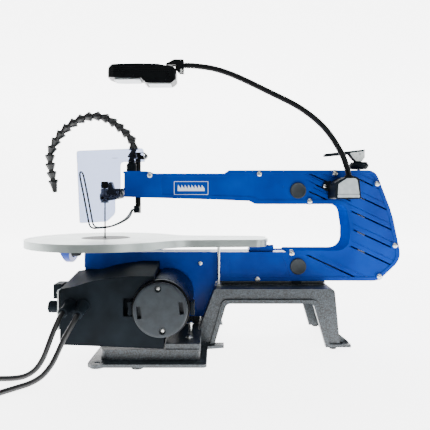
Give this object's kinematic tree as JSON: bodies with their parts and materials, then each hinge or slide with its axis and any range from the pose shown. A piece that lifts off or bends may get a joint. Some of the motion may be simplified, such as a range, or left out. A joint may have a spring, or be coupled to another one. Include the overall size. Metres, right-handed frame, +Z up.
{
  "type": "scroll saw",
  "caption": "Parallel-arm scroll saw on a cast base, with tilting table, blade guard, blower hose, gooseneck lamp, speed control and cam blade tensioner.",
  "frame": {"origin": "on the surface it stands on, under the middle of the object's box without its leads", "axes": "+X towards the rear of the saw, -Y towards the motor side, +Z up; the blade runs along Z"},
  "size_m": [0.6999, 0.5555, 0.476],
  "materials": {
    "cast_paint": "hammered black paint on cast iron",
    "blue_paint": "gloss blue powder coat",
    "table_alloy": "fine machined",
    "steel": "satin",
    "arm_alloy": "as cast",
    "black_plastic": "fine grain",
    "gloss_black": "gloss",
    "white_plastic": "smooth",
    "rubber": "matt",
    "clear_plastic": "clear"
  },
  "bodies": {
    "base": {"base_casting": "cast_paint", "foot_front_near": "rubber", "foot_front_far": "rubber", "foot_rear_near": "rubber", "foot_rear_far": "rubber", "mounting_plate": "cast_paint", "frame_shell_near": "blue_paint", "frame_shell_far": "blue_paint", "upper_pivot_pin": "black_plastic", "lower_pivot_pin": "black_plastic", "motor_housing": "gloss_black", "motor_end_cap": "black_plastic", "control_box": "black_plastic", "control_panel": "table_alloy", "switch_body": "black_plastic", "cord_gland_mains": "rubber", "cord_gland_second": "rubber", "mains_lead": "rubber", "second_lead": "rubber", "mains_coil": "rubber", "second_coil": "rubber", "mains_plug": "rubber", "second_coupling": "rubber", "rear_saddle": "blue_paint", "tilt_scale": "white_plastic", "tie_rod": "steel", "hose_connector": "black_plastic", "lamp_box": "black_plastic", "gooseneck": "gloss_black"},
    "upper_rocker": {"upper_arm": "arm_alloy"},
    "lower_rocker": {"lower_arm": "arm_alloy"},
    "upper_holder": {"blade_holder_upper": "steel", "blade": "steel"},
    "lower_holder": {"blade_holder_lower": "steel"},
    "upper_thumb_screw": {"thumb_screw_upper": "black_plastic"},
    "lower_thumb_screw": {"thumb_screw_lower": "black_plastic"},
    "tail_link": {"rear_link": "steel"},
    "tension_knob": {"tension_knob": "black_plastic"},
    "tension_lever": {"tension_lever": "steel"},
    "motor_shaft": {"motor_rotor": "steel"},
    "crank_rod": {"connecting_rod": "arm_alloy"},
    "rocker": {"power_rocker": "black_plastic"},
    "speed_knob": {"speed_knob": "gloss_black"},
    "table": {"table": "table_alloy", "table_insert": "black_plastic", "trunnion_front": "blue_paint", "trunnion_rear": "blue_paint"},
    "tilt_lock": {"tilt_lock_knob": "gloss_black"},
    "guard_post": {"guard_post": "gloss_black", "wire_guard": "steel"},
    "clamp_screw": {"guard_clamp_screw": "black_plastic"},
    "clear_guard": {"clear_guard": "clear_plastic"},
    "hose_lower": {"hose_lower": "black_plastic"},
    "hose_middle": {"hose_middle": "black_plastic"},
    "hose_upper": {"hose_upper": "black_plastic"},
    "nozzle": {"hose_nozzle": "black_plastic"},
    "lamp_neck": {"lamp_neck": "gloss_black"},
    "lamp_head": {"lamp_head": "gloss_black", "lamp_lens": "clear_plastic"}
  },
  "joints": [
    {"name": "arm_rock", "type": "hinge", "parent": "base", "child": "upper_rocker", "pos_m": [0.1465, 0, 0.2506], "axis": [0, 1, 0], "range_deg": [-1.25, 1.25]},
    {"name": "lower_arm_rock", "type": "hinge", "parent": "base", "child": "lower_rocker", "pos_m": [0.1465, 0, 0.1246], "axis": [0, 1, 0], "range_deg": [-1.25, 1.25]},
    {"name": "upper_holder_swing", "type": "hinge", "parent": "upper_rocker", "child": "upper_holder", "pos_m": [-0.1815, 0, 0.239], "axis": [0, 1, 0], "range_deg": [-1.25, 1.25]},
    {"name": "lower_holder_swing", "type": "hinge", "parent": "lower_rocker", "child": "lower_holder", "pos_m": [-0.1815, 0, 0.113], "axis": [0, 1, 0], "range_deg": [-1.25, 1.25]},
    {"name": "tail_link_swing", "type": "hinge", "parent": "upper_rocker", "child": "tail_link", "pos_m": [0.2565, 0, 0.2506], "axis": [0, 1, 0], "range_deg": [-1.25, 1.25]},
    {"name": "upper_thumb_screw_turn", "type": "hinge", "parent": "upper_holder", "child": "upper_thumb_screw", "pos_m": [-0.1815, 0, 0.255], "axis": [0, 0, 1], "range_deg": [-180, 180]},
    {"name": "lower_thumb_screw_turn", "type": "hinge", "parent": "lower_holder", "child": "lower_thumb_screw", "pos_m": [-0.1895, 0, 0.1185], "axis": [1, 0, 0], "range_deg": [-180, 180]},
    {"name": "tension_knob_turn", "type": "hinge", "parent": "tail_link", "child": "tension_knob", "pos_m": [0.2565, 0, 0.288], "axis": [0, 0, 1], "continuous": true},
    {"name": "tension_lever_swing", "type": "hinge", "parent": "tail_link", "child": "tension_lever", "pos_m": [0.2565, 0, 0.3135], "axis": [0, 1, 0], "range_deg": [0, 100]},
    {"name": "motor_spin", "type": "hinge", "parent": "base", "child": "motor_shaft", "pos_m": [-0.0675, -0.0205, 0.082], "axis": [0, 1, 0], "continuous": true},
    {"name": "crank_rod_swing", "type": "hinge", "parent": "motor_shaft", "child": "crank_rod", "pos_m": [-0.06283, -0.0168, 0.082], "axis": [0, 1, 0], "continuous": true},
    {"name": "power_rocker_tip", "type": "hinge", "parent": "base", "child": "rocker", "pos_m": [-0.227, -0.09, 0.0975], "axis": [0, 1, 0], "range_deg": [-6, 6]},
    {"name": "speed_knob_turn", "type": "hinge", "parent": "base", "child": "speed_knob", "pos_m": [-0.2205, -0.1, 0.074], "axis": [1, 0, 0], "range_deg": [-135, 135]},
    {"name": "table_tilt", "type": "hinge", "parent": "base", "child": "table", "pos_m": [-0.1815, 0, 0.17], "axis": [1, 0, 0], "range_deg": [-45, 5]},
    {"name": "tilt_lock_turn", "type": "hinge", "parent": "base", "child": "tilt_lock", "pos_m": [-0.2165, -0.02298, 0.15072], "axis": [1, 0, 0], "range_deg": [-180, 180]},
    {"name": "guard_post_slide", "type": "slide", "parent": "base", "child": "guard_post", "axis": [0, 0, -1], "range_m": [-0.013, 0.012]},
    {"name": "clamp_screw_turn", "type": "hinge", "parent": "guard_post", "child": "clamp_screw", "pos_m": [-0.1265, 0, 0.2185], "axis": [0, 1, 0], "range_deg": [-180, 180]},
    {"name": "clear_guard_flip", "type": "hinge", "parent": "guard_post", "child": "clear_guard", "pos_m": [-0.114, -0.022, 0.312], "axis": [0, -1, 0], "range_deg": [-60, 0]},
    {"name": "hose_swivel", "type": "hinge", "parent": "base", "child": "hose_lower", "pos_m": [-0.1325, -0.01, 0.306], "axis": [0, 0, 1], "range_deg": [-60, 60]},
    {"name": "hose_middle_bend", "type": "hinge", "parent": "hose_lower", "child": "hose_middle", "pos_m": [-0.17418, -0.01, 0.37322], "axis": [0, 1, 0], "range_deg": [-5, 20]},
    {"name": "hose_upper_bend", "type": "hinge", "parent": "hose_middle", "child": "hose_upper", "pos_m": [-0.2521, -0.01, 0.34993], "axis": [0, 1, 0], "range_deg": [-8, 20]},
    {"name": "nozzle_bend", "type": "hinge", "parent": "hose_upper", "child": "nozzle", "pos_m": [-0.2675, -0.01, 0.269], "axis": [0, 1, 0], "range_deg": [-12, 15]},
    {"name": "lamp_swivel", "type": "hinge", "parent": "base", "child": "lamp_neck", "pos_m": [-0.045, 0, 0.4671], "axis": [1, 0, 0], "range_deg": [-60, 60]},
    {"name": "lamp_tilt", "type": "hinge", "parent": "lamp_neck", "child": "lamp_head", "pos_m": [-0.052, 0, 0.462], "axis": [0, -1, 0], "range_deg": [0, 35]}
  ],
  "couplings": [
    {"joint": "lower_arm_rock", "follows": "arm_rock", "ratio": 1},
    {"joint": "upper_holder_swing", "follows": "arm_rock", "ratio": -1},
    {"joint": "lower_holder_swing", "follows": "arm_rock", "ratio": -1},
    {"joint": "tail_link_swing", "follows": "arm_rock", "ratio": -1},
    {"joint": "crank_rod_swing", "follows": "motor_spin", "ratio": -1}
  ]
}
